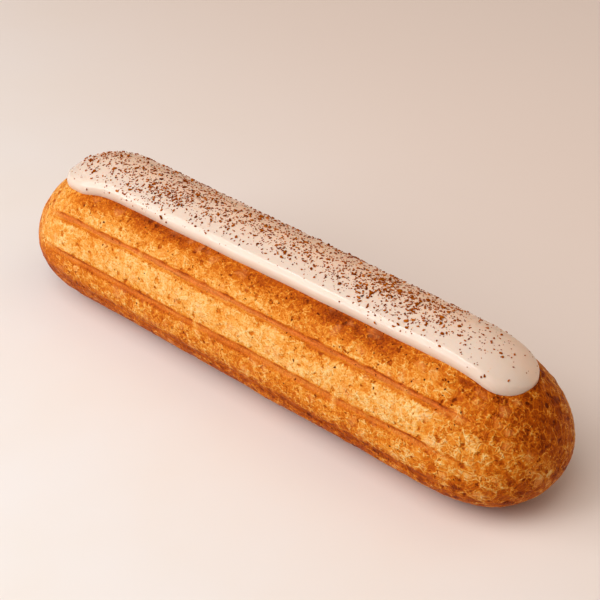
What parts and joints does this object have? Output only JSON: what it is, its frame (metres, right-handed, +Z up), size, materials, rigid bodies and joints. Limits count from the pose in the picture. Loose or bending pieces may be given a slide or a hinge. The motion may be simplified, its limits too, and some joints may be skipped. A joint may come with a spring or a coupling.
{
  "type": "iced eclair",
  "caption": "Long choux pastry with rounded ends and piped grooves, topped with a glossy strip of pale icing dusted with spice; rests on its flat base.",
  "frame": {"origin": "centre of the bounding box's underside, where the pastry rests", "axes": "+X along the eclair towards the end where the icing strip is narrower, +Z up, +Y across"},
  "size_m": [0.15, 0.0356, 0.0363],
  "materials": {
    "baked_choux": "golden-brown baked crust, low sheen, finely crackled",
    "icing": "smooth glossy off-white icing with ground spice on top"
  },
  "bodies": {
    "root": {"shell": "baked_choux", "icing": "icing"}
  },
  "joints": []
}
